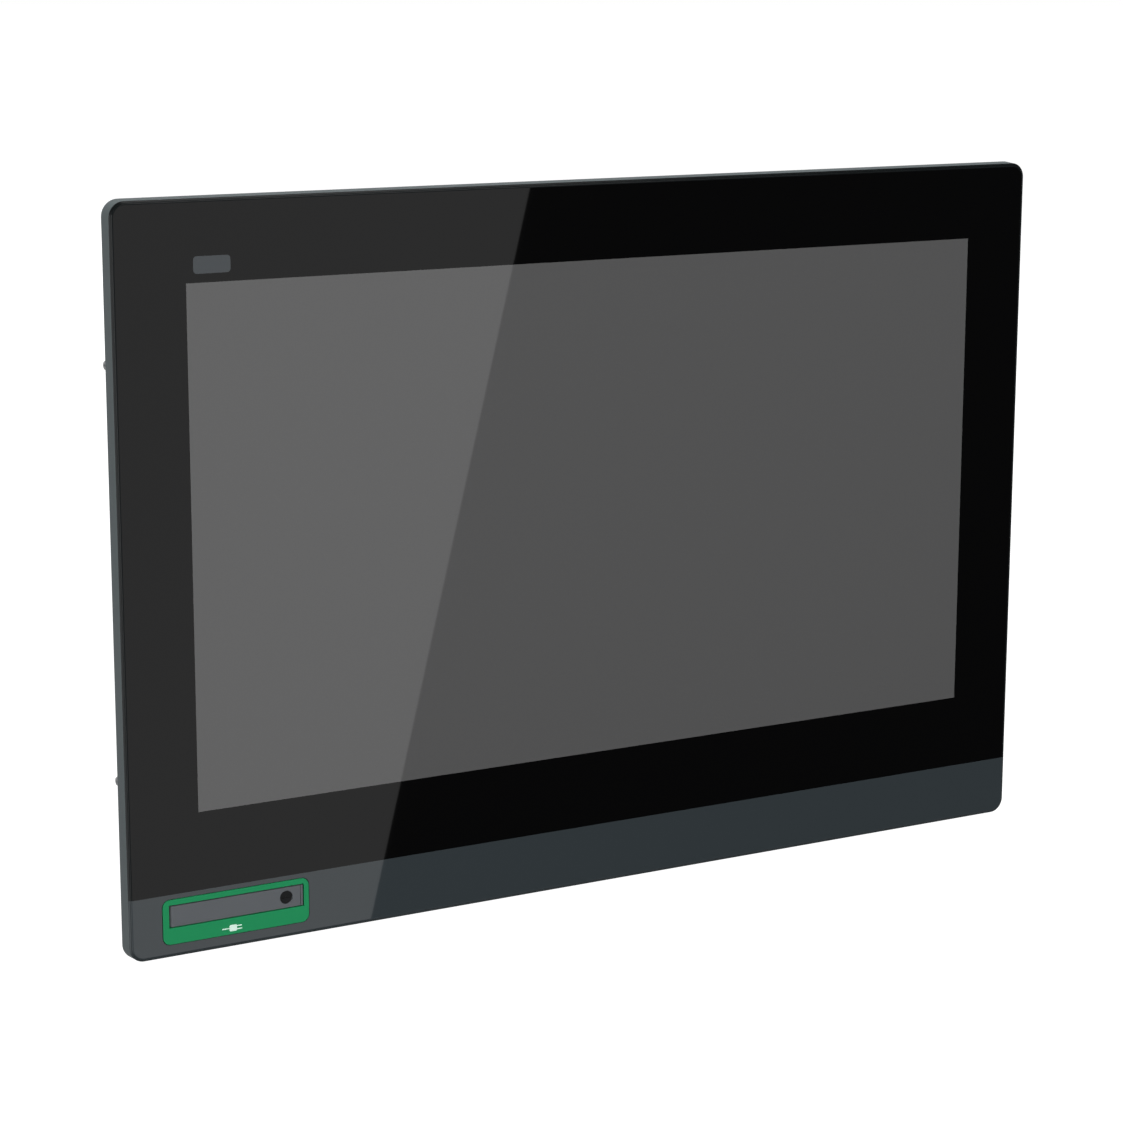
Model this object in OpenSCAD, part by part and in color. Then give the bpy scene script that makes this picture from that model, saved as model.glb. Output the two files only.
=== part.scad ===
/* [Front frame] */
// Width of the front frame at its rear edge
frame_w = 554.8; // [550:0.2:562]
// Height of the front frame at its rear edge
frame_h = 384.5; // [380:0.5:392]
// Depth from the front of the glass to the rear face of the frame's flange
frame_depth = 9.2; // [9:0.1:10]
// Corner radius of the frame at its rear edge
corner_r = 8.6; // [7:0.1:12]
// How much each side of the frame narrows towards the front
side_taper = 0.6; // [0.2:0.1:1]
// How far the gasket stands behind the flange when it is pressed against a panel
gasket_stand = 1; // [0.5:0.1:2]

/* [Glass and display] */
// Thickness of the cover glass
glass_t = 3; // [2.5:0.1:3]
// Width of the picture area
picture_w = 476.06; // [470:0.1:478]
// Height of the picture area
picture_h = 267.79; // [262:0.1:269]
// How far the picture area sits above the middle of the frame
picture_up = 16.55; // [14:0.1:18]

/* [Front USB port] */
// Width of the green surround
surround_w = 81.2; // [80:0.2:84]
// Height of the green surround
surround_h = 23.6; // [22:0.2:25]
// Length of the door
door_w = 73.8; // [72:0.2:75]
// Height of the door
door_h = 10.9; // [10:0.1:11.5]
// Thickness of the door
door_t = 2.2; // [1.8:0.1:2.4]

/* [Rear chassis] */
// How far the chassis sits inside the edge of the frame
chassis_inset = 9; // [9:0.5:10]
// Depth of the chassis behind the frame's flange
chassis_depth = 22; // [21:0.5:26]
// Thickness of the chassis sheet
sheet_t = 1.5; // [1:0.1:1.8]

/* [Electronics box] */
// Width of the electronics box
box_w = 300; // [290:1:330]
// Height of the electronics box
box_h = 200; // [196:1:220]
// Depth of the electronics box
box_d = 32.4; // [32:0.2:36]

/* [Hidden] */
$fn = 48;

// Depths are counted from the front of the glass; the origin is in the plane of the gasket's rear face.
front_y = -(frame_depth + gasket_stand);
function at(depth) = front_y + depth;

// Front edge: a narrow frame lip, then the glass's own bevel, on one 1-in-2 slope.
edge_drop = 0.5;
lip_w = 0.95;
glass_bevel = 0.85;
glass_gap = 0.15;
lip_front = 2 * edge_drop;
front_w = frame_w - 2 * side_taper;
front_h = frame_h - 2 * side_taper;
front_r = corner_r - side_taper;
pocket_w = front_w - 2 * lip_w;
pocket_h = front_h - 2 * lip_w;
pocket_r = front_r - lip_w;
glass_w = pocket_w - 2 * glass_gap;
glass_h = pocket_h - 2 * glass_gap;
glass_r = pocket_r - glass_gap;

// Layers behind the glass.
film_t = 0.3;
tape_t = 0.5;
film_y = glass_t;
tape_y = film_y + film_t;
ledge_y = tape_y + tape_t;
sensor_y = tape_y;
sensor_t = 0.6;
foam_y = sensor_y + sensor_t;
module_y = foam_y + tape_t;
module_skin = 0.5;
cell_y = module_y + module_skin;
cell_t = 1.4;
sheets_y = cell_y + cell_t;
sheets_t = 0.8;
guide_y = sheets_y + sheets_t;
guide_t = 3;
pan_skin = 0.8;
pan_floor_y = guide_y + guide_t + 0.3;
pan_back_y = pan_floor_y + pan_skin;

// The display module and the window of the frame that it sits in.
middle = [0, picture_up];
module_w = picture_w + 19.5;
module_h = picture_h + 24.4;
window_w = module_w + 8.4;
window_h = module_h + 8.1;

// Upstand of the frame, inside the chassis walls.
chassis_w = frame_w - 2 * chassis_inset;
chassis_h = frame_h - 2 * chassis_inset;
chassis_y0 = at(frame_depth) + 0.2;
chassis_y1 = at(frame_depth + chassis_depth);
upstand_w = chassis_w - 2 * sheet_t - 0.6;
upstand_h = chassis_h - 2 * sheet_t - 0.6;
upstand_t = 5;
upstand_y1 = chassis_y1 - sheet_t - 0.3;

// Side screws, and slots that the panel clamps hook into.
side_screw_y = chassis_y1 - 3.7;
side_screw_z = [-103.5, 109];
side_head_r = 2.8;
side_head_h = 2.4;
edge_screw_x = [-215, -75, 75, 215];
clamp_slot = [14, 5];
clamp_slot_y = 10.5;
clamp_slot_x = [-240, -110, 110, 240];
clamp_slot_z = [-45, 45];
m4_head_r = 3.4;
m4_head_h = 1.8;
m4_shank_r = 1.95;
m4_hole_r = 2;
m3_head_r = 2.75;
m3_head_h = 1.8;
m3_shank_r = 1.45;
m3_hole_r = 1.5;

// Gasket ring in the rear face of the flange.
gasket_in = 271;
gasket_w = 4;
groove_d = 1.5;

// Front USB port.
port_x = -218.2;
surround_z = -173.05;
door_z = -170.2;
proud = 0.2;
cut_gap = 0.3;
door_x0 = -254.8;
door_gap = 0.6;
hinge_r = 1.9;
hinge_pin_r = 0.8;
hinge_x = door_x0 + hinge_r;
hinge_y = at(hinge_r - proud);
seat_y = 3.3;
well_x = [-248.5, -197];
well_h = 9.6;
well_y = 8;
body_x = [-256.8, -179.6];
body_h = 12;
body_y1 = 11;
lock = [-190.4, -170.05];
lock_head_r = 3.4;
lock_shank_r = 1.5;
usb_x = -236;
mini_x = -211;
usb_len = 14;
port_board_y = well_y + usb_len;
port_board_t = 1.6;
port_board_z = [-174.6, -155];
post_at = [[-246, -158.5], [-190, -158.5]];

// Electronics box on the back of the chassis.
wall_t = 1.2;
tray_t = 1.5;
box_z = -40;
box_y0 = chassis_y1 + 0.2;
box_y1 = box_y0 + box_d - 1.6;
lid_t = 1.5;
box_bottom = box_z - box_h / 2;
board_gap = 6;
board_t = 1.6;
board_y0 = box_y0 + tray_t + board_gap;
board_y1 = board_y0 + board_t;
board_w = 278;
board_h = 180;
board_z = box_bottom + 4 + board_h / 2;
standoff_at = [for (x = [-130, 20, 130], z = [-1, 1]) [x, board_z + z * 82]];
rear_hole = [200, 120];
rear_hole_z = -60;

// Ports in the bottom wall of the box.
power_x = -112;
ethernet_x = [-78, -54];
rear_usb_x = [-22, 2];
serial_x = 48;
ethernet_size = [16, 13.5, 21];
usb_shell = [13.1, 5.7];
usb_skin = 0.35;
mini_shell = [7.7, 4.0];
serial_pitch = 24.99;
jack_r = 1.4;
serial_y = board_y1 + 6.4;
jack_x = [for (s = [-1, 1]) serial_x + s * serial_pitch / 2];
jack_tip_z = box_bottom - 4.6;

// Card slot, its door and the reset button in the right wall of the box.
card_z = -60;
card_y = 39.2;
card_frame_x = box_w / 2 + 0.1;
card_hinge_r = 1.5;
card_pin_r = 0.6;
card_door_t = 1.6;
card_door_h = 34.8;
card_door_len = 12.8;
card_hinge = [card_frame_x + 2, card_y - 6.1];
button_r = 1.6;
button_at = [34.2, -45.5];
switch_x = box_w / 2 - 16;

// ---- shapes used throughout ----

// A block given by its lowest and highest corners.
module block(lo, hi) translate(lo) cube(hi - lo);

// A rectangle with round corners, about its own middle.
module rounded(w, h, r) {
    square([w - 2 * r, h], center = true);
    square([w, h - 2 * r], center = true);
    for (x = [-1, 1], y = [-1, 1]) translate([x * (w / 2 - r), y * (h / 2 - r)]) circle(r);
}

// A front-facing plate with round corners from y0 to y1, about [x, z].
module plate(w, h, r, y0, y1, mid = [0, 0])
    translate([mid[0], y1, mid[1]]) rotate([90, 0, 0]) linear_extrude(y1 - y0) rounded(w, h, r);

// A front-facing slot with round ends, w wide and long in Z, from y0 to y1.
module slot(w, long, y0, y1, mid)
    translate([mid[0], y1, mid[1]]) rotate([90, 0, 0]) linear_extrude(y1 - y0) {
        square([w, long - w], center = true);
        for (s = [-1, 1]) translate([0, s * (long - w) / 2]) circle(w / 2);
    }

// A front-facing ring: an outer plate less an inner one of the same thickness.
module ring(outer, inner, r_out, r_in, y0, y1, mid = [0, 0])
    translate([mid[0], y1, mid[1]]) rotate([90, 0, 0]) linear_extrude(y1 - y0) difference() {
        rounded(outer[0], outer[1], r_out);
        rounded(inner[0], inner[1], r_in);
    }

// A slab with round corners that is full size at y1 and narrower by taper on every side at y0.
module drafted(w, h, r, taper, y0, y1) {
    across = w / 2 - r;
    up = h / 2 - r;
    translate([0, 0, -up]) linear_extrude(2 * up)
        polygon([[taper - w / 2, y0], [w / 2 - taper, y0], [w / 2, y1], [-w / 2, y1]]);
    translate([-across, 0, 0]) rotate([90, 0, 90]) linear_extrude(2 * across)
        polygon([[y0, taper - h / 2], [y0, h / 2 - taper], [y1, h / 2], [y1, -h / 2]]);
    for (x = [-1, 1], z = [-1, 1])
        translate([x * across, y1, z * up]) rotate([90, 0, 0]) cylinder(h = y1 - y0, r1 = r, r2 = r - taper);
}

// Turns what is drawn along +Z so that it points along a, and moves it to p.
module facing(p, a) translate(p) rotate([0, acos(a[2]), atan2(a[1], a[0])]) children();

// A straight rod from p, along a.
module rod(p, a, len, r) facing(p, a) cylinder(h = len, r = r);

// A pan-head screw with a cross recess: the underside of its head is at z = 0 and its shank points down.
module pan_screw(head_r, head_h, shank_r, len) {
    difference() {
        union() {
            cylinder(h = head_h * 0.5, r = head_r);
            translate([0, 0, head_h * 0.5]) cylinder(h = head_h * 0.5, r1 = head_r, r2 = head_r * 0.72);
        }
        for (turn = [0, 90]) rotate([0, 0, turn])
            translate([-head_r * 0.5, -0.3, head_h * 0.45]) cube([head_r, 0.6, head_h]);
    }
    translate([0, 0, -len]) cylinder(h = len, r = shank_r);
}

// A flap on a round hinge barrel: axis on Z at the origin, outer face towards -Y, free end towards +X.
module flap(len, tall, thick, barrel_r, bore_r) difference() {
    translate([0, 0, -tall / 2]) union() {
        cylinder(h = tall, r = barrel_r);
        translate([0, -barrel_r, 0]) cube([len, thick, tall]);
    }
    translate([0, 0, -tall]) cylinder(h = 2 * tall, r = bore_r);
}

// A USB type A or mini socket shell: an open-ended steel box of size [w, h] along +Z, with a closed back.
module socket_shell(size, len) difference() {
    translate([-size[0] / 2, -size[1] / 2, 0]) cube([size[0], size[1], len]);
    translate([usb_skin - size[0] / 2, usb_skin - size[1] / 2, usb_skin])
        cube([size[0] - 2 * usb_skin, size[1] - 2 * usb_skin, len]);
}

// The plastic tongue of such a socket, with its contacts' carrier at the back.
module socket_tongue(size, len, tongue_t) {
    inner = [size[0] - 2 * usb_skin - 0.2, size[1] - 2 * usb_skin - 0.2];
    translate([-inner[0] / 2, -inner[1] / 2, usb_skin + 0.1]) cube([inner[0], inner[1], 3]);
    translate([-inner[0] / 2 + 0.6, -tongue_t, usb_skin + 3.1]) cube([inner[0] - 1.2, tongue_t, len - 5]);
}

// The places of the side screws: [point on the chassis wall, outward direction].
side_screws = concat(
    [for (x = edge_screw_x, s = [-1, 1]) [[x, side_screw_y, s * chassis_h / 2], [0, 0, s]]],
    [for (z = side_screw_z, s = [-1, 1]) [[s * chassis_w / 2, side_screw_y, z], [s, 0, 0]]]
);

// The slots for the panel clamps, cut through everything at the four walls.
module clamp_slots() {
    deep = 12;
    for (x = clamp_slot_x, s = [-1, 1])
        translate([x, clamp_slot_y, s * (chassis_h / 2 - 4)])
            cube([clamp_slot[0], clamp_slot[1], deep], center = true);
    for (z = clamp_slot_z, s = [-1, 1])
        translate([s * (chassis_w / 2 - 4), clamp_slot_y, z])
            cube([deep, clamp_slot[1], clamp_slot[0]], center = true);
}

// ---- front frame, glass and display ----

module front_frame() color("#5b6366") difference() {
    union() {
        drafted(front_w, front_h, front_r, lip_w, at(edge_drop), at(lip_front));
        drafted(frame_w, frame_h, corner_r, side_taper, at(lip_front), at(frame_depth));
        plate(upstand_w, upstand_h, 4, at(frame_depth) - 1, upstand_y1);
    }
    plate(pocket_w, pocket_h, pocket_r, at(-1), at(ledge_y));
    plate(window_w, window_h, 4, at(ledge_y) - 1, at(frame_depth) + 1, middle);
    plate(upstand_w - 2 * upstand_t, upstand_h - 2 * upstand_t, 3, at(frame_depth), upstand_y1 + 1);
    block([body_x[0] - cut_gap, at(ledge_y) - 1, door_z - body_h / 2 - cut_gap],
          [body_x[1] + cut_gap, at(frame_depth) + 1, door_z + body_h / 2 + cut_gap]);
    ring([2 * (gasket_in + gasket_w), 2 * (gasket_in + gasket_w) - frame_w + frame_h],
         [2 * gasket_in, 2 * gasket_in - frame_w + frame_h], 6, 3,
         at(frame_depth) - groove_d, at(frame_depth) + 1);
    clamp_slots();
    for (s = side_screws) rod(s[0] - 12 * s[1], s[1], 14, m3_hole_r);
    for (p = post_at) rod([p[0], at(frame_depth) - 4, p[1]], [0, 1, 0], 8, m3_hole_r);
    for (p = bracket_screw_at) rod([p[0], at(frame_depth) - 4, p[1]], [0, 1, 0], 8, m3_hole_r);
    for (p = touch_board_at) rod([p[0], at(frame_depth) - 4, p[1]], [0, 1, 0], 8, m3_hole_r);
}

// Window in the glass and film for the green surround.
module port_cut(y0, y1)
    plate(surround_w + 2 * cut_gap, surround_h + 2 * cut_gap, 4 + cut_gap, y0, y1, [port_x, surround_z]);

module cover_glass() color("#1b1d1e") difference() {
    union() {
        drafted(glass_w, glass_h, glass_r, glass_bevel, at(0), at(edge_drop));
        plate(glass_w, glass_h, glass_r, at(edge_drop), at(glass_t));
    }
    port_cut(at(-1), at(glass_t) + 1);
}

module decor_film() color("#060606") difference() {
    plate(glass_w, glass_h, glass_r, at(film_y), at(film_y + film_t));
    plate(picture_w, picture_h, 0.5, at(film_y) - 1, at(ledge_y), middle);
    port_cut(at(film_y) - 1, at(ledge_y));
}

module glass_tape() color("#202020") difference() {
    plate(glass_w - 1, glass_h - 1, glass_r, at(tape_y), at(ledge_y));
    plate(window_w + 4, window_h + 4, 5, at(tape_y) - 1, at(ledge_y) + 1, middle);
    port_cut(at(tape_y) - 1, at(ledge_y) + 1);
}

module touch_sensor() color("#a8b0b4", 0.3)
    plate(module_w + 4, module_h, 1, at(sensor_y), at(foam_y), middle);

// Flat cable from the bottom edge of the sensor, round the frame's window, to the touch board.
tail_x = [-20, 20];
tail_z = picture_up - module_h / 2 - 1.6;
tail_end_z = -152;
tail_y = 12;
module sensor_tail() color("#b06a2c") {
    block([tail_x[0], at(sensor_y) + 0.1, tail_z - 0.3], [tail_x[1], at(sensor_y) + 0.4, tail_z + 1.6]);
    block([tail_x[0], at(sensor_y) + 0.4, tail_z - 0.3], [tail_x[1], at(tail_y), tail_z]);
    block([tail_x[0], at(tail_y) - 0.3, tail_end_z], [tail_x[1], at(tail_y), tail_z - 0.3]);
}

touch_board_size = [150, 22];
touch_board_z = -158;
touch_board_y = 12.2;
touch_board_at = [for (x = [-68, 68]) [x, touch_board_z - 7]];
module touch_board() color("#1f5a34") {
    difference() {
        plate(touch_board_size[0], touch_board_size[1], 1, at(touch_board_y), at(touch_board_y) + board_t,
              [0, touch_board_z]);
        for (p = touch_board_at) rod([p[0], at(0), p[1]], [0, 1, 0], 30, m3_hole_r);
    }
    for (x = [-45, 0, 42]) translate([x - 6, at(touch_board_y) + board_t, touch_board_z - 6])
        cube([12, 1.4, 12]);
    translate([-24, at(touch_board_y) + board_t, touch_board_z + 7]) cube([48, 2.4, 3.4]);
}

module touch_board_spacers() color("#c9a227") for (p = touch_board_at) difference() {
    rod([p[0], at(frame_depth), p[1]], [0, 1, 0], touch_board_y - frame_depth, 2.8);
    rod([p[0], at(frame_depth) - 1, p[1]], [0, 1, 0], 8, m3_hole_r);
}

module display_tape() color("#2a2a2a")
    ring([module_w - 1, module_h - 1], [picture_w + 6, picture_h + 6], 1, 1,
         at(foam_y), at(module_y), middle);

module display_front_frame() color("#8f9497") difference() {
    plate(module_w, module_h, 1, at(module_y), at(module_y) + 4.6, middle);
    plate(module_w - 2 * module_skin, module_h - 2 * module_skin, 0.6,
          at(cell_y), at(module_y) + 6, middle);
    plate(picture_w + 4.5, picture_h + 4.5, 0.6, at(module_y) - 1, at(cell_y) + 1, middle);
}

module display_cell() color("#5c5c5c")
    plate(module_w - 2.6, module_h - 2.6, 0.6, at(cell_y), at(cell_y + cell_t), middle);

module diffuser_sheets() color("#f2f2f0")
    plate(module_w - 10, module_h - 10, 1, at(sheets_y), at(sheets_y + sheets_t), middle);

module light_guide() color("#dfeaf0", 0.6)
    plate(module_w - 12, module_h - 12, 1, at(guide_y), at(guide_y + guide_t), middle);

// Row of lamps along the bottom edge of the light guide, shining up into it.
led_count = 24;
led_pitch = 19;
module led_strip() color("#e8e4c8") {
    top = picture_up - (module_h - 12) / 2 - 0.2;
    w = led_count * led_pitch + 8;
    block([-w / 2, at(guide_y) - 0.5, top - 2.2], [w / 2, at(guide_y + guide_t), top - 1.2]);
    for (i = [0 : led_count - 1])
        translate([(i - (led_count - 1) / 2) * led_pitch, at(guide_y) + 1.4, top - 0.6])
            cube([5, 2, 1.2], center = true);
}

module display_back_pan() color("#b9bdbf") {
    size = [module_w - 2 * module_skin - 0.4, module_h - 2 * module_skin - 0.4];
    difference() {
        plate(size[0], size[1], 1, at(sheets_y) + 0.1, at(pan_back_y), middle);
        plate(size[0] - 2 * pan_skin, size[1] - 2 * pan_skin, 0.6, at(sheets_y) - 1, at(pan_floor_y), middle);
    }
    for (z = [-1, 1], x = [-1, 1]) plate(90, 6, 2.5, at(pan_back_y), at(pan_back_y) + 1,
                                         [x * 130, picture_up + z * 120]);
}

// Timing board on the back of the display, with its two connectors.
module display_board() color("#1f5a34") {
    y = at(pan_back_y) + 1.2;
    plate(230, 30, 1, y, y + 1.2, [0, -78]);
    for (x = [-100, 100], z = [-89, -67]) rod([x, y - 1.2, z], [0, 1, 0], 1.2, 2.5);
    translate([-16, y + 1.2, -76]) cube([32, 2, 5]);
    translate([50, y + 1.2, -86]) cube([14, 1.4, 14]);
    translate([-80, y + 1.2, -84]) cube([10, 1.2, 10]);
}

// Two long steel brackets press the display module towards the glass.
bracket_z = [picture_up - 118, picture_up + 118];
bracket_screw_at = [for (s = [-1, 1], z = [-100, 0, 100]) [s * 257.2, picture_up + z]];
module display_brackets() color("#9aa0a3") difference() {
    tall = bracket_z[1] - bracket_z[0];
    for (s = [0, 1]) mirror([s, 0, 0]) translate([0, 0, bracket_z[0]]) linear_extrude(tall)
        polygon([[252.6, at(frame_depth)], [261.2, at(frame_depth)], [261.2, at(frame_depth) + 1.5],
                 [254.1, at(frame_depth) + 1.5], [254.1, at(pan_back_y) + 1.5], [236, at(pan_back_y) + 1.5],
                 [236, at(pan_back_y)], [252.6, at(pan_back_y)]]);
    for (p = bracket_screw_at) rod([p[0], at(frame_depth) - 1, p[1]], [0, 1, 0], 5, m3_hole_r);
}

module bracket_screws() color("#d0d2d4") for (p = bracket_screw_at)
    facing([p[0], at(frame_depth) + 1.5, p[1]], [0, 1, 0]) pan_screw(m3_head_r, m3_head_h, m3_shank_r, 5);

module panel_gasket() color("#171717")
    ring([2 * (gasket_in + gasket_w), 2 * (gasket_in + gasket_w) - frame_w + frame_h],
         [2 * gasket_in, 2 * gasket_in - frame_w + frame_h], 6, 3,
         at(frame_depth) - groove_d, 0);

// ---- front USB port ----

module usb_surround() color("#1c8c4e") difference() {
    union() {
        plate(surround_w, surround_h, 4, at(-proud), at(ledge_y), [port_x, surround_z]);
        block([body_x[0], at(ledge_y) - 0.5, door_z - body_h / 2],
              [body_x[1], at(body_y1), door_z + body_h / 2]);
    }
    block([door_x0 - door_gap, at(-1), door_z - door_h / 2 - door_gap],
          [door_x0 + door_w + door_gap, at(seat_y), door_z + door_h / 2 + door_gap]);
    block([door_x0 - door_gap, at(seat_y) - 1, door_z - door_h / 2 - 0.3],
          [hinge_x + hinge_r + 1, at(seat_y) + 1, door_z + door_h / 2 + 0.3]);
    block([well_x[0], at(seat_y) - 1, door_z - well_h / 2], [well_x[1], at(well_y), door_z + well_h / 2]);
    for (s = [[usb_x, usb_shell], [mini_x, mini_shell]])
        block([s[0] - s[1][0] / 2 - 0.2, at(well_y) - 1, door_z - s[1][1] / 2 - 0.2],
              [s[0] + s[1][0] / 2 + 0.2, at(body_y1) + 1, door_z + s[1][1] / 2 + 0.2]);
    rod([hinge_x, hinge_y, door_z - 8.5], [0, 0, 1], 17, hinge_pin_r + 0.02);
    rod([lock[0], at(seat_y) - 1, lock[1]], [0, 1, 0], 7, 2.5);
}

module usb_door() color("#5a5c60") difference() {
    translate([hinge_x, hinge_y, door_z]) flap(door_w - hinge_r, door_h, door_t, hinge_r, hinge_pin_r + 0.05);
    rod([lock[0], at(-1), lock[1]], [0, 1, 0], 6, lock_shank_r + 0.06);
    rod([lock[0], at(-1), lock[1]], [0, 1, 0], 1 + lock_seat, lock_head_r + 0.15);
    pry_x = door_x0 + door_w - 1.2;
    block([pry_x - 0.3, at(-1), door_z - door_h], [pry_x, at(0.3), door_z + door_h]);
}

module door_hinge_pin() color("#c8cacc") rod([hinge_x, hinge_y, door_z - 8.5], [0, 0, 1], 17, hinge_pin_r);

module door_seal() color("#151515")
    ring([well_x[1] - well_x[0] + 1.6, well_h + 0.8], [well_x[1] - well_x[0] - 2, well_h - 2.4], 1.5, 0.8,
         at(door_t - proud), at(door_t - proud) + 1, [(well_x[0] + well_x[1]) / 2, door_z]);

// Captive lock screw of the door: slotted head, then a shank that reaches the brass insert.
lock_head_h = 1;
lock_seat = 1.25;
lock_tip = 6.3;
lock_axis = [lock[0], at(lock_seat - 0.15), lock[1]];
module door_screw() color("#141414") difference() {
    facing(lock_axis, [0, -1, 0]) {
        cylinder(h = lock_head_h, r = lock_head_r);
        translate([0, 0, lock_seat - 0.15 - lock_tip])
            cylinder(h = lock_tip - lock_seat + 0.2, r = lock_shank_r);
    }
    block([lock[0] - 2.6, at(-1), lock[1] - 0.5], [lock[0] + 2.6, at(0.7), lock[1] + 0.5]);
}

module door_screw_clip() color("#8a8d90") difference() {
    rod([lock[0], at(door_t - proud) + 0.3, lock[1]], [0, 1, 0], 0.5, 2.6);
    rod([lock[0], at(0), lock[1]], [0, 1, 0], 8, lock_shank_r);
}

module door_screw_insert() color("#c9a227") difference() {
    rod([lock[0], at(4.3), lock[1]], [0, 1, 0], 4, 2.45);
    rod([lock[0], at(3), lock[1]], [0, 1, 0], 8, 1.75);
}

module usb_board() color("#1f5a34") {
    y = at(port_board_y);
    difference() {
        block([-252, y, port_board_z[0]], [-184, y + port_board_t, port_board_z[1]]);
        for (p = post_at) rod([p[0], y - 1, p[1]], [0, 1, 0], 5, m3_hole_r);
    }
    translate([-226, y + port_board_t, -164]) cube([16, 3, 5]);
    translate([-203, y + port_board_t, -172]) cube([7, 1.1, 7]);
}

module usb_board_posts() color("#c9a227") for (p = post_at) difference() {
    facing([p[0], at(frame_depth), p[1]], [0, 1, 0])
        cylinder(h = port_board_y - frame_depth, r = 3.2, $fn = 6);
    rod([p[0], at(frame_depth) - 1, p[1]], [0, 1, 0], 20, m3_hole_r);
}

module usb_board_screws() color("#d0d2d4") for (p = post_at)
    facing([p[0], at(port_board_y) + port_board_t, p[1]], [0, 1, 0])
        pan_screw(m3_head_r, m3_head_h, m3_shank_r, 18);

// Both sockets of the front port, type A and mini: steel shells, then the tongues inside them.
ports = [[usb_x, usb_shell, 1.8], [mini_x, mini_shell, 0.8]];
module port_shells() color("#b8bcc0") for (p = ports)
    facing([p[0], at(port_board_y), door_z], [0, -1, 0]) rotate([0, 0, 90])
        socket_shell(p[1], usb_len);
module port_tongues() color("#111214") for (p = ports)
    facing([p[0], at(port_board_y), door_z], [0, -1, 0]) rotate([0, 0, 90])
        socket_tongue(p[1], usb_len, p[2]);

// Folded flat cable from the USB board to the main board.
lead_y = at(port_board_y) + port_board_t + 3;
module usb_lead() color("#d8dadc") {
    block([-224, lead_y, -162.5], [-212, lead_y + 0.5, -122]);
    block([-224, lead_y + 0.5, -134], [-84, lead_y + 1, -122]);
    block([-96, lead_y + 1, -134 + 12], [-84, lead_y + 1.5, -96]);
    block([-96, lead_y + 1.5, -97], [-84, board_y0, -96.5]);
}

// ---- rear chassis ----

module rear_chassis() color("#a9adaf") difference() {
    plate(chassis_w, chassis_h, 4, chassis_y0, chassis_y1);
    plate(chassis_w - 2 * sheet_t, chassis_h - 2 * sheet_t, 2.5, chassis_y0 - 1, chassis_y1 - sheet_t);
    plate(rear_hole[0], rear_hole[1], 6, chassis_y1 - 5, chassis_y1 + 1, [0, rear_hole_z]);
    clamp_slots();
    for (s = side_screws) rod(s[0] - 4 * s[1], s[1], 8, m3_hole_r);
    for (p = tray_screw_at) rod([p[0], chassis_y1 - 5, p[1]], [0, 1, 0], 10, m4_hole_r);
    rod([ground_at[0], chassis_y1 - 5, ground_at[1]], [0, 1, 0], 10, m4_hole_r);
    for (i = [-15 : 15]) slot(3, 26, chassis_y1 - 5, chassis_y1 + 1, [i * 10, 130]);
}

module chassis_screws() color("#8c9194") for (s = side_screws)
    facing(s[0], s[1]) pan_screw(side_head_r, side_head_h, m3_shank_r, 6.5);

// Earth terminal: a screw over a cup washer, low on the back of the chassis.
ground_at = [-176, -128];
module ground_screw() color("#c9a227") {
    facing([ground_at[0], chassis_y1 + 1, ground_at[1]], [0, 1, 0])
        pan_screw(m4_head_r, m4_head_h, m4_shank_r, 4);
    difference() {
        rod([ground_at[0], chassis_y1, ground_at[1]], [0, 1, 0], 1, 5);
        rod([ground_at[0], chassis_y1 - 1, ground_at[1]], [0, 1, 0], 3, m4_shank_r);
    }
}

// ---- electronics box ----

tray_screw_at = [for (x = [-1, 1], z = [-1, 1]) [x * (box_w / 2 - 12), box_z + z * (box_h / 2 - 12)]];
lid_tab_x = [-box_w / 2 + 22, 0, box_w / 2 - 22];
lid_screw_at = [for (x = lid_tab_x, z = [-1, 1]) [x, box_z + z * (box_h / 2 - 8)]];

module box_tray() color("#a2a6a8") {
    difference() {
        plate(box_w, box_h, 2, box_y0, box_y1, [0, box_z]);
        plate(box_w - 2 * wall_t, box_h - 2 * wall_t, 1, box_y0 + tray_t, box_y1 + 1, [0, box_z]);
        plate(rear_hole[0], rear_hole[1], 6, box_y0 - 1, box_y0 + 5, [0, rear_hole_z]);
        for (p = tray_screw_at) rod([p[0], box_y0 - 1, p[1]], [0, 1, 0], 5, m4_hole_r);
        bottom_cut(power_x, 21, 10.4, board_y1 - 0.2);
        for (x = ethernet_x) bottom_cut(x, ethernet_size[0] + 0.6, ethernet_size[1] + 0.6, board_y1 - 0.3);
        for (x = rear_usb_x) bottom_cut(x, usb_shell[0] + 0.6, usb_shell[1] + 0.6, board_y1 - 0.3);
        bottom_cut(serial_x, 18.4, 9.6, board_y1 + 1.6);
        for (x = jack_x) rod([x, serial_y, box_bottom - 2], [0, 0, 1], 6, 2.6);
        for (x = lamp_x) rod([x, board_y1 + 5, box_bottom - 2], [0, 0, 1], 6, 1.6);
        block([box_w / 2 - 4, card_y - 8.4, card_z - 20], [box_w / 2 + 2, card_y + 8.4, card_z + 20]);
        for (z = [-1, 1], i = [-6 : 6]) block([i * 20 - 7, box_y0 + 12, box_z + box_h / 2 - 4],
                                              [i * 20 + 7, box_y0 + 15, box_z + box_h / 2 + 4]);
    }
    for (p = lid_screw_at) difference() {
        side = p[1] > box_z ? 1 : -1;
        translate([p[0] - 7, box_y1 - 1.3, side > 0 ? box_z + box_h / 2 - 14 : box_bottom + wall_t - 0.1])
            cube([14, 1.3, 14 - wall_t + 0.1]);
        rod([p[0], box_y1 - 5, p[1]], [0, 1, 0], 8, m3_hole_r);
    }
}

lamp_x = [92, 100];
// A rectangular hole in the bottom wall for a connector w wide that starts at depth y and is tall in Y.
module bottom_cut(x, w, tall, y) block([x - w / 2, y, box_bottom - 2], [x + w / 2, y + tall, box_bottom + 4]);

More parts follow.
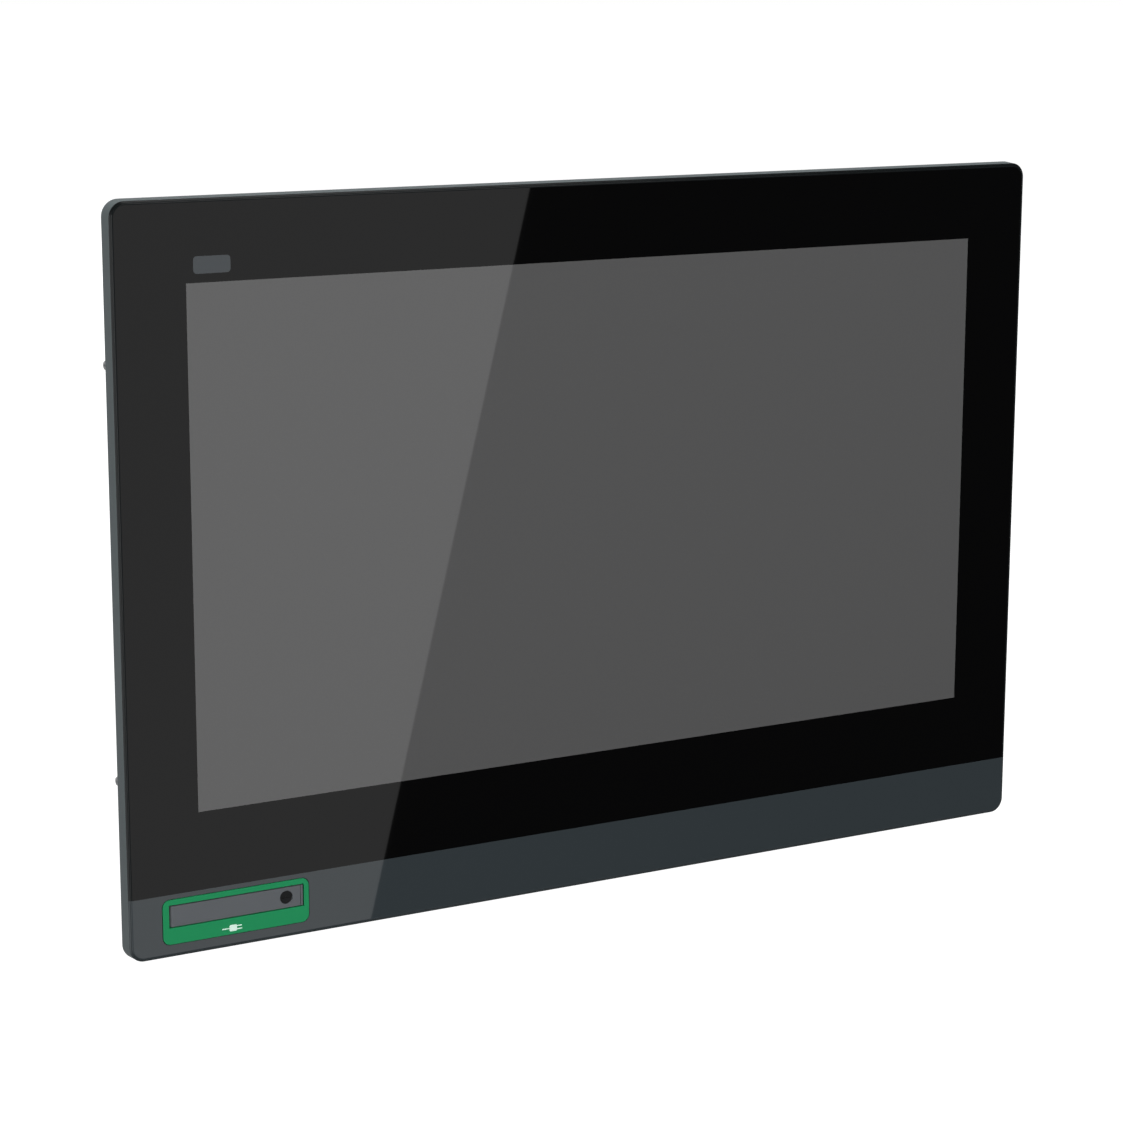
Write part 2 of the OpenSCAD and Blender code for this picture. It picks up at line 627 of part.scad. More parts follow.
module tray_screws() color("#d0d2d4") for (p = tray_screw_at)
    facing([p[0], box_y0 + tray_t, p[1]], [0, 1, 0]) pan_screw(m4_head_r, m4_head_h, m4_shank_r, 4.5);

module box_lid() color("#a9adaf") difference() {
    union() {
        plate(box_w, box_h, 2, box_y1 + 0.1, box_y1 + 0.1 + lid_t, [0, box_z]);
        for (s = [-1, 1]) block([s * (box_w / 2 - wall_t - 1.3) - 0.6, box_y1 - 3, box_z - 80],
                                [s * (box_w / 2 - wall_t - 1.3) + 0.6, box_y1 + 0.2, box_z + 80]);
    }
    for (p = lid_screw_at) rod([p[0], box_y1 - 3, p[1]], [0, 1, 0], 8, m3_hole_r);
    for (i = [-11 : 11], z = [-36, 36]) slot(3.2, 50, box_y1 - 1, box_y1 + 5, [i * 9, box_z + z]);
}

module lid_screws() color("#d0d2d4") for (p = lid_screw_at)
    facing([p[0], box_y1 + 0.1 + lid_t, p[1]], [0, 1, 0]) pan_screw(m3_head_r, m3_head_h, m3_shank_r, 4.5);

module main_board() color("#1f5a34") {
    difference() {
        plate(board_w, board_h, 2, board_y0, board_y1, [0, board_z]);
        for (p = standoff_at) rod([p[0], board_y0 - 1, p[1]], [0, 1, 0], 5, m3_hole_r);
    }
    for (x = [-104, -88, 104, 118]) rod([x, board_y1, board_z + 60], [0, 1, 0], 10, 4);
    for (z = [-30, -12]) translate([-128, board_y1, board_z + z]) cube([14, 8, 14]);
    translate([-16, board_y0 - 3, -86]) cube([32, 3, 5]);
    difference() {
        block([switch_x - 7, board_y1, button_at[1] - 3.5], [switch_x, board_y1 + 7.4, button_at[1] + 3.5]);
        rod([switch_x - 4, button_at[0], button_at[1]], [1, 0, 0], 6, button_r + 0.08);
    }
}

module board_standoffs() color("#c9a227") for (p = standoff_at) difference() {
    facing([p[0], box_y0 + tray_t, p[1]], [0, 1, 0]) cylinder(h = board_gap, r = 3.2, $fn = 6);
    rod([p[0], box_y0, p[1]], [0, 1, 0], 12, m3_hole_r);
}

module board_screws() color("#d0d2d4") {
    for (p = standoff_at)
        facing([p[0], board_y1, p[1]], [0, 1, 0]) pan_screw(m3_head_r, m3_head_h, m3_shank_r, 6);
    for (p = touch_board_at)
        facing([p[0], at(touch_board_y) + board_t, p[1]], [0, 1, 0])
            pan_screw(m3_head_r, m3_head_h, m3_shank_r, 6);
}

sink_at = [0, board_z + 8];
module board_chips() color("#1a1a1c") {
    plate(32, 32, 1, board_y1, board_y1 + 2, sink_at);
    for (x = [-58, -42, 42, 58], z = [-6, 12]) plate(12, 14, 0.4, board_y1, board_y1 + 1.1, [x, board_z + z]);
    plate(20, 20, 0.4, board_y1, board_y1 + 1.4, [-62, board_z - 40]);
}
module thermal_pad() color("#c8b8c8") plate(32, 32, 1, board_y1 + 2, board_y1 + 2.5, sink_at);

module heat_sink() color("#b4b8ba") {
    y = board_y1 + 2.5;
    plate(66, 66, 1, y, y + 4, sink_at);
    for (i = [-7 : 7])
        translate([sink_at[0] + i * 4.5 - 0.75, y + 3.9, sink_at[1] - 33]) cube([1.5, 10.1, 66]);
}

battery_at = [92, board_z - 30];
module battery_holder() color("#2a2b2d") difference() {
    plate(26, 26, 4, board_y1, board_y1 + 5, battery_at);
    rod([battery_at[0], board_y1 + 1, battery_at[1]], [0, 1, 0], 6, 10.3);
}
module backup_battery() color("#cfd2d4")
    rod([battery_at[0], board_y1 + 1, battery_at[1]], [0, 1, 0], 3.2, 10);

// Supply header on the board and the screw plug that the supply leads are clamped in.
terminal_pitch = 5.08;
module power_header() color("#2b5f3a") difference() {
    block([power_x - 10, board_y1, box_bottom - 0.2], [power_x + 10, board_y1 + 9, box_bottom + 12]);
    block([power_x - 8.6, board_y1 + 1.2, box_bottom - 2], [power_x + 8.6, board_y1 + 7.8, box_bottom + 8]);
}
module power_plug() color("#3a8a50") difference() {
    union() {
        block([power_x - 8.3, board_y1 + 1.5, box_bottom - 1],
              [power_x + 8.3, board_y1 + 7.5, box_bottom + 7.4]);
        block([power_x - 9.8, board_y1 + 0.2, box_bottom - 12.5],
              [power_x + 9.8, board_y1 + 11, box_bottom - 0.3]);
    }
    for (x = [-terminal_pitch, 0, terminal_pitch]) {
        rod([power_x + x, board_y1 + 8, box_bottom - 6], [0, 1, 0], 5, 1.7);
        block([power_x + x - 1.5, board_y1 + 2.5, box_bottom - 14],
              [power_x + x + 1.5, board_y1 + 5.7, box_bottom - 5]);
    }
}

module ethernet_sockets() color("#b8bcc0") for (x = ethernet_x) difference() {
    block([x - ethernet_size[0] / 2, board_y1, box_bottom - 0.8],
          [x + ethernet_size[0] / 2, board_y1 + ethernet_size[1], box_bottom - 0.8 + ethernet_size[2]]);
    block([x - 5.9, board_y1 + 3.6, box_bottom - 2], [x + 5.9, board_y1 + 10.6, box_bottom + 12]);
    block([x - 3, board_y1 + 2, box_bottom - 2], [x + 3, board_y1 + 4, box_bottom + 9]);
}

module rear_usb_sockets() color("#b8bcc0") for (x = rear_usb_x)
    facing([x, board_y1 + usb_shell[1] / 2 + 0.1, box_bottom - 0.8 + usb_len], [0, 0, -1]) {
        socket_shell(usb_shell, usb_len);
        socket_tongue(usb_shell, usb_len, 1.8);
    }

// Nine-way serial connector: plated shell and flange with two threaded jack posts.
module serial_socket() color("#b8bcc0") {
    flange_z = box_bottom + wall_t + 0.2;
    difference() {
        union() {
            block([serial_x - 15.4, serial_y - 6.2, flange_z],
                  [serial_x + 15.4, serial_y + 6.2, flange_z + 1]);
            d_shape(0, box_bottom - 5.4, flange_z + 1);
        }
        d_shape(0.5, box_bottom - 7, flange_z + 12);
        for (x = jack_x) rod([x, serial_y, box_bottom - 8], [0, 0, 1], 20, jack_r);
    }
    for (x = jack_x) difference() {
        facing([x, serial_y, jack_tip_z], [0, 0, 1]) cylinder(h = flange_z - jack_tip_z, r = 2.5, $fn = 6);
        rod([x, serial_y, jack_tip_z - 2], [0, 0, 1], 12, jack_r);
    }
}

// A D-shaped prism from z0 to z1: the outline of the serial shell, smaller by skin all round.
module d_shape(skin, z0, z1) translate([serial_x, serial_y, z0]) linear_extrude(z1 - z0)
    polygon([[skin - 8.4, skin - 4.15], [8.4 - skin, skin - 4.15],
             [7.6 - skin, 4.15 - skin], [skin - 7.6, 4.15 - skin]]);

// Plug face of the serial connector, with a row of five pins over a row of four.
module serial_insulator() color("#141518") {
    translate([serial_x - 6.8, serial_y - 3.4, box_bottom - 1]) cube([13.6, 6.8, 10]);
    for (row = [[-1.42, 5], [1.42, 4]], i = [1 : row[1]])
        rod([serial_x + (i - (row[1] + 1) / 2) * 2.77, serial_y + row[0], box_bottom - 4.6],
            [0, 0, 1], 3.8, 0.5);
}

// Light pipes that bring two indicator lamps to the bottom wall.
module status_lamps() color("#7fd08a") for (x = lamp_x)
    rod([x, board_y1 + 5, box_bottom - 0.6], [0, 0, 1], 12, 1.5);

// ---- card slot, its door and the reset button ----

module card_socket() color("#b8bcc0") difference() {
    block([box_w / 2 - 38, board_y1, card_z - 17], [box_w / 2 - 10, board_y1 + 3.6, card_z + 10.2]);
    block([box_w / 2 - 36, board_y1 + 0.5, card_z - 15.6], [box_w / 2 - 8, board_y1 + 3, card_z + 8.8]);
}

module card_frame() color("#2c2e30") difference() {
    union() {
        block([card_frame_x, card_y - 10, card_z - 25], [card_frame_x + 3.5, card_y + 10, card_z + 25]);
        block([box_w / 2 - wall_t - 1.5, card_y - 8.2, card_z - 19.8],
              [card_frame_x + 1, card_y + 8.2, card_z + 19.8]);
    }
    block([box_w / 2 - 6, card_y - 7, card_z - 18], [card_frame_x + 5, card_y + 7, card_z + 18]);
    block([card_hinge[0] - 1.9, card_hinge[1] - 2, card_z - 18], [card_frame_x + 5, card_y, card_z + 18]);
    rod([card_hinge[0], card_hinge[1], card_z - 22], [0, 0, 1], 44, card_pin_r + 0.02);
}
module card_door() color("#2c2e30") difference() {
    translate([card_hinge[0], card_hinge[1], card_z]) rotate([0, 0, 90])
        flap(card_door_len, card_door_h, card_door_t, card_hinge_r, card_pin_r + 0.05);
    translate([card_frame_x + 3.1, card_y + 3.4, card_z - 8]) cube([2, 1.2, 16]);
}
module card_door_pin() color("#c8cacc")
    rod([card_hinge[0], card_hinge[1], card_z - 22], [0, 0, 1], 44, card_pin_r);

// Plunger of the reset switch; it slides in a bore of the switch body on the main board.
module reset_button() color("#a03028")
    rod([switch_x - 3, button_at[0], button_at[1]], [1, 0, 0], 12, button_r);

// Folded flat cable from the timing board of the display to the main board.
module display_ribbon() color("#d8dadc") {
    y0 = at(pan_back_y) + 4.6;
    block([-15, y0, -74], [15, y0 + 0.4, -62]);
    block([-15, y0 + 0.4, -62.4], [15, board_y0 - 3.4, -62]);
    block([-15, board_y0 - 3.4, -84], [15, board_y0 - 3, -62]);
}

front_frame();
cover_glass();
glass_tape();
decor_film();
touch_sensor();
sensor_tail();
touch_board();
touch_board_spacers();
display_tape();
display_front_frame();
display_cell();
diffuser_sheets();
light_guide();
led_strip();
display_back_pan();
display_board();
display_brackets();
bracket_screws();
panel_gasket();
usb_surround();
usb_door();
door_hinge_pin();
door_seal();
door_screw();
door_screw_clip();
door_screw_insert();
usb_board();
usb_board_posts();
usb_board_screws();
port_shells();
port_tongues();
usb_lead();
rear_chassis();
chassis_screws();
ground_screw();
box_tray();
tray_screws();
box_lid();
lid_screws();
main_board();
board_standoffs();
board_screws();
board_chips();
thermal_pad();
heat_sink();
battery_holder();
backup_battery();
power_header();
power_plug();
ethernet_sockets();
rear_usb_sockets();
serial_socket();
serial_insulator();
status_lamps();
card_socket();
card_frame();
card_door();
card_door_pin();
reset_button();
display_ribbon();
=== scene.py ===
import math
import bpy
from mathutils import Matrix, Vector


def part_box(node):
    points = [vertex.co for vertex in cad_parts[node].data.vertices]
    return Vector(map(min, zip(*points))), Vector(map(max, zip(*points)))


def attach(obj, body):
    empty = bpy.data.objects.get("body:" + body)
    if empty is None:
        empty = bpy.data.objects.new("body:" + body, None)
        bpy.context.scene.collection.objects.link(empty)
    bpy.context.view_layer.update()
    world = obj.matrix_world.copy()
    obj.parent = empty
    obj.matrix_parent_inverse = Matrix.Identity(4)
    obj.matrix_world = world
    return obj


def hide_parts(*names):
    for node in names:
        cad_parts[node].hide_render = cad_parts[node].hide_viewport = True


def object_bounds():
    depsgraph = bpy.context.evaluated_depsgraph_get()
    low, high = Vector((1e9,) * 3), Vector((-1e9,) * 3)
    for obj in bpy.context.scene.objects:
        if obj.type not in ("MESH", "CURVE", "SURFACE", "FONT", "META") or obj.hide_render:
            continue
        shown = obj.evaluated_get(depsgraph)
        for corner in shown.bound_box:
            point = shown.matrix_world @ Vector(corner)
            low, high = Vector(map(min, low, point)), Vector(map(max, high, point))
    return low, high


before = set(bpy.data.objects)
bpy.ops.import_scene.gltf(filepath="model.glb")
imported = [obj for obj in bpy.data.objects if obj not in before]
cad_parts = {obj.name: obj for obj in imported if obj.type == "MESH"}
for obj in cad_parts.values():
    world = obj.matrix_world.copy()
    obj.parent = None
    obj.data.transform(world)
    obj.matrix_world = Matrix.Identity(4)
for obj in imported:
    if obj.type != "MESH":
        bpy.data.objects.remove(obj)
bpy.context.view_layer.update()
MM = 0.001
SAME_POINT = 0.002 * MM
SAME_FACE, SHARP_EDGE, SMOOTH_UP_TO = math.radians(0.5), math.radians(40), math.radians(35)

# The front frame: one aluminium pressure die casting, with a slate powder coat whose fine
# orange-peel grain breaks up its highlights. Its edges are rounded by the coat and by
# tumbling after casting. Everything else hangs from it.


class Link:
    """A number or a vector in a material, on which sums can be written."""

    def __init__(self, finish, socket):
        self.finish, self.socket = finish, socket

    def _sum(self, operation, *values):
        return self.finish.node("ShaderNodeMath", {"operation": operation}, *values)

    def __add__(self, other):
        return self._sum("ADD", self, other)

    def __radd__(self, other):
        return self._sum("ADD", other, self)

    def __sub__(self, other):
        return self._sum("SUBTRACT", self, other)

    def __mul__(self, other):
        return self._sum("MULTIPLY", self, other)

    def __gt__(self, other):
        return self._sum("GREATER_THAN", self, other)

    def __lt__(self, other):
        return self._sum("LESS_THAN", self, other)

    def __abs__(self):
        return self._sum("ABSOLUTE", self)

    def at_least(self, other):
        return self._sum("MAXIMUM", self, other)

    def wrapped(self, step):
        """The distance to the nearest multiple of step."""
        return self._sum("PINGPONG", self, step / 2)


class Finish:
    """A material on a Principled surface, built on the piece's own Object coordinates."""

    def __init__(self, name, colour, rough, metal=0.0, **constants):
        self.material = bpy.data.materials.new(name)
        self.material.use_nodes = True
        self.tree = self.material.node_tree
        self.shader = self.tree.nodes["Principled BSDF"]
        self.output = self.tree.nodes["Material Output"]
        self.set({"Base Color": colour, "Roughness": rough, "Metallic": metal})
        self.set({k.replace("_", " "): v for k, v in constants.items()})
        self.place = self.node("ShaderNodeTexCoord", {}, out="Object")
        self.x, self.y, self.z = (
            self.node("ShaderNodeSeparateXYZ", {}, self.place, out=axis) for axis in "XYZ")

    def join(self, value, socket):
        if isinstance(value, Link):
            self.tree.links.new(value.socket, socket)
        elif hasattr(value, "__len__") and len(value) == 3 and socket.type == "RGBA":
            socket.default_value = (*value, 1)
        else:
            socket.default_value = value

    def set(self, values):
        for name, value in values.items():
            self.join(value, self.shader.inputs[name])

    def node(self, kind, settings, *values, out=0, **named):
        made = self.tree.nodes.new(kind)
        for name, value in settings.items():
            setattr(made, name, value)
        for i, value in enumerate(values):
            self.join(value, made.inputs[i])
        for name, value in named.items():
            self.join(value, made.inputs[name.replace("_", " ")])
        return Link(self, made.outputs[out])

    def stretched(self, scale):
        return self.node("ShaderNodeMapping", {}, Vector=self.place, Scale=scale)

    def noise(self, size, along=(1, 1, 1), detail=3.0):
        """Noise of a grain this many millimetres across, from 0 to 1."""
        return self.node("ShaderNodeTexNoise", {}, Vector=self.stretched(along),
                         Scale=1 / (size * MM), Detail=detail, out="Fac")

    def mix(self, a, b, share):
        made = self.tree.nodes.new("ShaderNodeMix")
        made.data_type = "RGBA"
        for name, value in (("Factor_Float", share), ("A_Color", a), ("B_Color", b)):
            self.join(value, next(s for s in made.inputs if s.identifier == name))
        return Link(self, next(s for s in made.outputs if s.identifier == "Result_Color"))

    def bump(self, height, depth):
        """Height from 0 to 1 over a real depth in millimetres."""
        self.set({"Normal": self.node("ShaderNodeBump", {}, Strength=1.0, Distance=depth * MM,
                                      Height=height, out="Normal")})


def grained(name, colour, rough, metal=0.0, size=0.8, along=(1, 1, 1), depth=0.02, tone=0.12,
            **constants):
    """A finish whose colour drifts a little, with a grain that varies roughness and height."""
    blotch = 18.0
    f = Finish(name, colour, rough, metal, **constants)
    grain = f.noise(size, along)
    drift = f.noise(blotch, detail=2.0)
    dark, light = ([c * (1 + sign * tone) for c in colour] for sign in (-1, 1))
    f.set({"Base Color": f.mix(dark, light, grain * 0.6 + drift * 0.4),
           "Roughness": rough * 0.8 + grain * (rough * 0.4)})
    f.bump(grain, depth)
    return f


def dress(finish, *nodes):
    """Gives the finish to CAD pieces that stay as they are."""
    for n in nodes:
        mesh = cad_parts[n].data
        mesh.materials.clear()
        mesh.materials.append(finish.material)


def active(piece):
    """Makes this piece the only selected one, in object mode."""
    if bpy.context.object and bpy.context.object.mode != "OBJECT":
        bpy.ops.object.mode_set(mode="OBJECT")
    bpy.ops.object.select_all(action="DESELECT")
    piece.select_set(True)
    bpy.context.view_layer.objects.active = piece


def eased(node, name, width, finish, body, slot, segments=2):
    """The CAD piece with its flat faces merged whole and its sharp edges rounded over by width."""
    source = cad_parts[node]
    piece = bpy.data.objects.new(name, source.data.copy())
    bpy.context.scene.collection.objects.link(piece)
    active(piece)
    bpy.ops.object.mode_set(mode="EDIT")
    bpy.ops.mesh.select_all(action="SELECT")
    bpy.ops.mesh.remove_doubles(threshold=SAME_POINT)
    bpy.ops.mesh.dissolve_limited(angle_limit=SAME_FACE)
    bpy.ops.object.mode_set(mode="OBJECT")
    if piece.data.has_custom_normals:
        bpy.ops.mesh.customdata_custom_splitnormals_clear()
    rounding = piece.modifiers.new("rounding", "BEVEL")
    rounding.width, rounding.segments = width * MM, segments
    rounding.limit_method, rounding.angle_limit = "ANGLE", SHARP_EDGE
    rounding.use_clamp_overlap = True
    bpy.ops.object.modifier_apply(modifier="rounding")
    bpy.ops.object.shade_smooth_by_angle(angle=SMOOTH_UP_TO)
    evened = piece.modifiers.new("evened", "WEIGHTED_NORMAL")
    evened.keep_sharp, evened.weight = True, 100
    bpy.ops.object.modifier_apply(modifier="evened")
    piece.data.materials.clear()
    piece.data.materials.append(finish.material)
    return settle(piece, body, slot, node)


def settle(piece, body, slot, *nodes):
    """The piece moves with this body and stands for these CAD pieces; the slot is not used."""
    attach(piece, body)
    if nodes:
        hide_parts(*nodes)
    return piece


coat_slate = (0.078, 0.098, 0.103)
frame_coat = grained("slate_powder_coat", coat_slate, 0.5, size=0.9, depth=0.03, tone=0.07)
casting = eased("front_frame", "front_frame_casting", 0.15, frame_coat, "panel", "frame_paint",
                segments=3)

# The cover glass: 3 mm hardened glass, ground to a narrow bevel all round and printed on its
# back: black border, slate band along the bottom, a small blank patch at the upper
# left. The clear window shows the display. The bevel shows the print's black, and slate along the band,
# both lightened by a painted sheen.
glass_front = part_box("cover_glass")[0].y
window_half, window_up = (238.03 * MM, 133.9 * MM), 16.55 * MM
band_top = -158.55 * MM
patch_mid, patch_half, patch_r = (-224.2 * MM, 159.15 * MM), (9.9 * MM, 4.3 * MM), 2 * MM
black_ink, band_ink = (0.0016, 0.0016, 0.0017), (0.027, 0.034, 0.038)
patch_ink, face_grey = (0.031, 0.037, 0.042), (0.0765, 0.0765, 0.077)
# Bevel colours: the print's black and slate made lighter, a painted sheen on the bevel.
bevel_black_painted_sheen, bevel_slate_painted_sheen = (0.0055, 0.0068, 0.0073), (0.036, 0.043, 0.047)
border_coat = 0.56
touching = 1e-7
lip_depth = 1.1 * MM


def inside(f, mid, half, r=0.0):
    """1 inside a rectangle with round corners, standing in the X-Z plane, and 0 outside it."""
    dx = (abs(f.x - mid[0]) - (half[0] - r)).at_least(0.0)
    dz = (abs(f.z - mid[1]) - (half[1] - r)).at_least(0.0)
    if not r:
        return (dx + dz) < touching
    return (dx * dx + dz * dz) < r * r


glass_print = Finish("printed_glass", black_ink, 0.5, Specular_IOR_Level=0.0, Coat_IOR=1.5,
                     Coat_Roughness=0.015)
window = inside(glass_print, (0, window_up), window_half)
band = glass_print.z < band_top
patch = inside(glass_print, patch_mid, patch_half, patch_r)
sparkle = glass_print.noise(0.5, detail=1.0)
matte_dark, matte_light = ([c * share for c in face_grey] for share in (0.94, 1.06))
matte_grey = glass_print.mix(matte_dark, matte_light, sparkle)
ink = glass_print.mix(glass_print.mix(black_ink, band_ink, band), patch_ink, patch)
glass_print.set({"Base Color": glass_print.mix(ink, matte_grey, window),
                 "Coat Weight": border_coat + window.at_least(band).at_least(patch) * (1 - border_coat)})
# The bevel's finish carries the print's colours lightened by a painted sheen.
bevel_ink_painted_sheen = Finish("glass_bevel_ink_painted_sheen", (0.006, 0.007, 0.0075), 0.22)
bevel_grain = bevel_ink_painted_sheen.noise(1.5)
bevel_ink_painted_sheen.set({"Base Color": bevel_ink_painted_sheen.mix(bevel_black_painted_sheen, bevel_slate_painted_sheen, bevel_ink_painted_sheen.z < band_top),
                 "Roughness": 0.2 + bevel_grain * 0.08})
glass_back = grained("inked_glass_back", (0.006, 0.006, 0.006), 0.4, size=0.6, depth=0.002, tone=0.2)

pane = eased("cover_glass", "cover_glass_pane", 0.08, glass_print, "panel", "cover_glass")
for f in (bevel_ink_painted_sheen, glass_back):
    pane.data.materials.append(f.material)
for face in pane.data.polygons:
    flat_front = face.normal.y < -0.999
    face.material_index = 0 if flat_front else 2 if face.normal.y > 0.9 else 1
# The frame's front lip faces take the same bevel colours, with their painted sheen.
casting.data.materials.append(bevel_ink_painted_sheen.material)
for face in casting.data.polygons:
    deepest = max(casting.data.vertices[v].co.y for v in face.vertices)
    if face.normal.y < -0.3 and deepest < glass_front + lip_depth:
        face.material_index = 1

# Black foam tape bonds the glass to the frame's ledge. It is die-cut from acrylic foam,
# so its edges show closed cells.
tape = grained("black_acrylic_foam", (0.016, 0.016, 0.017), 0.85, size=0.25, depth=0.08, tone=0.3)
dress(tape, "glass_tape", "display_tape")

# The print is one film of ink behind the glass: gloss black round the window, and slate in
# the band below it.
film = grained("back_print_film", black_ink, 0.3, size=0.6, depth=0.002, tone=0.1)
film.set({"Base Color": film.mix(black_ink, band_ink, film.z < band_top)})
dress(film, "decor_film")

# The touch sensor is a clear laminate with a net of conductors too fine to see at arm's
# length. An amber flexible tail takes its lines round to the touch board.
sensor = Finish("clear_touch_laminate", (0.8, 0.83, 0.85), 0.1)
net_pitch, net_line = 5 * MM, 0.02 * MM
net = (sensor.x.wrapped(net_pitch) < net_line).at_least(sensor.z.wrapped(net_pitch) < net_line)
sensor_clear = sensor.node("ShaderNodeBsdfTransparent", {}, (0.985, 0.99, 0.99))
sensor_film = Link(sensor, sensor.shader.outputs[0])
sensor_laminate = sensor.node("ShaderNodeMixShader", {}, net * 0.02, sensor_clear, sensor_film)
sensor.join(sensor_laminate, sensor.output.inputs["Surface"])
dress(sensor, "touch_sensor")

amber, amber_line = (0.42, 0.15, 0.035), (0.62, 0.3, 0.12)
tail = grained("amber_flex", amber, 0.35, size=1.2, depth=0.01, tone=0.1)
copper_lines = tail.x.wrapped(0.8 * MM) < 0.2 * MM
tail.set({"Base Color": tail.mix(amber, amber_line, copper_lines)})
dress(tail, "sensor_tail")

# Circuit boards: glass-epoxy under green solder mask, with tracks that stand a little
# proud of it and tinned pads where parts are soldered.
mask_green, track_green, solder_grey = (0.014, 0.1, 0.036), (0.03, 0.19, 0.07), (0.6, 0.6, 0.58)
pad_pitch = 7 * MM
board = grained("green_solder_mask", mask_green, 0.32, size=0.3, depth=0.01, tone=0.15)
tracks = (board.x.wrapped(2.2 * MM) < 0.28 * MM) * (board.noise(9.0, detail=0.0) > 0.48)
rows = (board.z.wrapped(2.6 * MM) < 0.3 * MM) * (board.noise(13.0, detail=0.0) > 0.52)
copper = tracks.at_least(rows)
pads = board.node("ShaderNodeTexVoronoi", {"feature": "F1"}, Vector=board.place,
                  Scale=1 / pad_pitch, out="Distance")
solder = pads < 0.09
masked = board.mix(mask_green, track_green, copper)
board.set({"Base Color": board.mix(masked, solder_grey, solder), "Metallic": solder})
board.bump(copper.at_least(solder), 0.04)
dress(board, "touch_board", "display_board", "usb_board", "main_board")

# Turned brass: spacers, posts, stand-offs, the insert of the lock screw and the earth
# screw, with a fine grain left by the lathe.
brass = grained("turned_brass", (0.6, 0.4, 0.12), 0.28, 1.0, size=0.35, depth=0.01, tone=0.12)
dress(brass, "touch_board_spacers", "door_screw_insert", "usb_board_posts", "board_standoffs",
      "ground_screw")

# The display module: pressed zinc-plated steel round the cell, then its diffuser sheets,
# a moulded acrylic light guide with a dot print, its lamp strip, and the pan behind.
plated = grained("zinc_plated_pressing", (0.4, 0.42, 0.43), 0.36, 1.0, size=0.7,
                 along=(0.08, 1, 1), depth=0.01)
dress(plated, "display_front_frame", "display_back_pan", "display_brackets")

face_glass = grained("anti_glare_polariser", (0.118, 0.118, 0.1185), 0.42, size=0.45,
                     depth=0.006, tone=0.08, Specular_IOR_Level=0.15)
dress(face_glass, "display_cell")

sheets = grained("white_diffuser", (0.84, 0.84, 0.82), 0.7, size=0.3, depth=0.01, tone=0.03)
dress(sheets, "diffuser_sheets")

acrylic, dot_white, dot_pitch = (0.75, 0.8, 0.84), (0.95, 0.95, 0.94), 2.4 * MM
guide = grained("dotted_acrylic", acrylic, 0.12, size=2.0, depth=0.002, tone=0.03)
dots = guide.node("ShaderNodeTexVoronoi", {"feature": "F1"}, Vector=guide.place,
                  Scale=1 / dot_pitch, Randomness=0.0, out="Distance")
guide.set({"Base Color": guide.mix(acrylic, dot_white, dots < 0.25)})
dress(guide, "light_guide")

lacquer, phosphor, lamp_pitch = (0.78, 0.76, 0.66), (0.85, 0.7, 0.18), 19 * MM
lamps = grained("lamp_strip_lacquer", lacquer, 0.45, size=0.5, depth=0.01, tone=0.05)
lit_part = lamps.x.wrapped(lamp_pitch) > 0.4 * lamp_pitch
lamps.set({"Base Color": lamps.mix(lacquer, phosphor, lit_part)})
dress(lamps, "led_strip")

# Bright zinc machine screws, all with a cross recess, cold headed from steel wire. The two
# hinge pins and the clip of the lock screw have the same plating.
screw_zinc = grained("bright_zinc_screw", (0.6, 0.61, 0.62), 0.27, 1.0, size=0.4, depth=0.008,
                     tone=0.08)
dress(screw_zinc, "door_hinge_pin", "door_screw_clip", "usb_board_screws", "board_screws",
      "card_door_pin", "bracket_screws")
for group, width in (("chassis_screws", 0.18), ("tray_screws", 0.15), ("lid_screws", 0.15)):
    eased(group, group + "_headed", width, screw_zinc, "panel", "screw_steel")

# The panel gasket and the door's seal: black rubber, each moulded in one ring, with a dull
# surface.
rubber = grained("black_moulded_rubber", (0.011, 0.011, 0.012), 0.75, size=0.5, depth=0.03,
                 tone=0.25)
dress(rubber, "panel_gasket", "door_seal")

# The port surround: one green ABS moulding let into the glass, with a satin face. A small
# plain plug symbol is pad-printed below the door.
green, surround_ink = (0.0108, 0.214, 0.078), (0.62, 0.8, 0.7)
print_depth = 0.15 * MM
surround = grained("satin_green_abs", green, 0.42, size=0.35, depth=0.012, tone=0.06)
symbol_at = (-221.0 * MM, -181.55 * MM)


def mark(dx, dz, half_w, half_h, r=0.0):
    """One rectangle of the plug symbol, in millimetres from the symbol's middle."""
    mid = (symbol_at[0] + dx * MM, symbol_at[1] + dz * MM)
    return inside(surround, mid, (half_w * MM, half_h * MM), r * MM)


plug = mark(0.6, 0, 2.1, 1.7, 0.7).at_least(mark(-3.4, 0, 2.1, 0.27))
pins = mark(4.0, 0.85, 1.5, 0.27).at_least(mark(4.0, -0.85, 1.5, 0.27))
on_face = surround.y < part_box("usb_surround")[0].y + print_depth
symbol = plug.at_least(pins) * on_face
green_dark, green_light = ([c * share for c in green] for share in (0.95, 1.05))
moulded = surround.mix(green_dark, green_light, surround.noise(0.35))
surround.set({"Base Color": surround.mix(moulded, surround_ink, symbol)})
eased("usb_surround", "port_surround_moulding", 0.22, surround, "panel", "green_plastic",
      segments=3)

# The port door: a grey glass-filled nylon flap, spark-eroded to a fine even texture, on a
# steel pin through its moulded barrel. It swings out at its left end.
door_grain = grained("spark_textured_nylon", (0.092, 0.099, 0.107), 0.55, size=0.3, depth=0.03,
                     tone=0.1)
eased("usb_door", "port_door_flap", 0.16, door_grain, "usb_door", "grey_plastic", segments=3)

# The captive lock screw: black-oxide steel, its head below the face of the door in a
# counterbore, held by a spring clip behind.
oxide = grained("black_oxide", (0.012, 0.0125, 0.013), 0.38, 0.35, size=0.4, depth=0.012, tone=0.25)
eased("door_screw", "door_lock_screw", 0.12, oxide, "door_screw", "black_steel")

